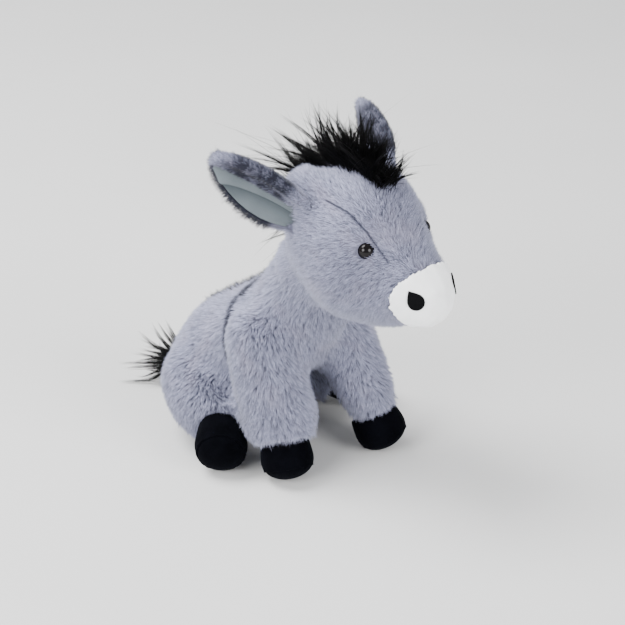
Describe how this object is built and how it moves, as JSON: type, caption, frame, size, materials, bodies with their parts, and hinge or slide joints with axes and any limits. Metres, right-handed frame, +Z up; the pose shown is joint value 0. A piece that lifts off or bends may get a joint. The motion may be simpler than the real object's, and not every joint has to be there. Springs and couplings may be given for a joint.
{
  "type": "plush toy donkey",
  "caption": "Seated soft toy donkey with grey plush body, cupped ears, upright black mane, tail tuft, white muzzle and black cloth hooves.",
  "frame": {"origin": "on the floor, under the middle of the whole toy's outline", "axes": "-Y is the way the toy faces, +X is its left side, +Z is up"},
  "size_m": [0.1864, 0.3342, 0.2965],
  "materials": {
    "grey_plush": "soft grey plush with a lilac cast, pile 6 to 8 mm long",
    "white_plush": "very short smooth white plush",
    "hoof_cloth": "short-napped black cloth",
    "lining_cloth": "smooth grey-green woven cloth",
    "black_hair": "long straight black synthetic hair",
    "black_thread": "black satin stitching",
    "eye_bead": "glossy black bead"
  },
  "bodies": {
    "root": {"trunk": "grey_plush", "neck": "grey_plush", "head": "grey_plush", "muzzle": "white_plush", "mane": "black_hair", "tail": "grey_plush", "tail_tuft": "black_hair", "ear_right": "grey_plush", "ear_lining_right": "lining_cloth", "eye_right": "eye_bead", "nostril_right": "black_thread", "foreleg_right": "grey_plush", "fore_hoof_right": "hoof_cloth", "fore_sole_right": "hoof_cloth", "hindleg_right": "grey_plush", "hind_hoof_right": "hoof_cloth", "hind_sole_right": "hoof_cloth", "ear_left": "grey_plush", "ear_lining_left": "lining_cloth", "eye_left": "eye_bead", "nostril_left": "black_thread", "foreleg_left": "grey_plush", "fore_hoof_left": "hoof_cloth", "fore_sole_left": "hoof_cloth", "hindleg_left": "grey_plush", "hind_hoof_left": "hoof_cloth", "hind_sole_left": "hoof_cloth"}
  },
  "joints": []
}
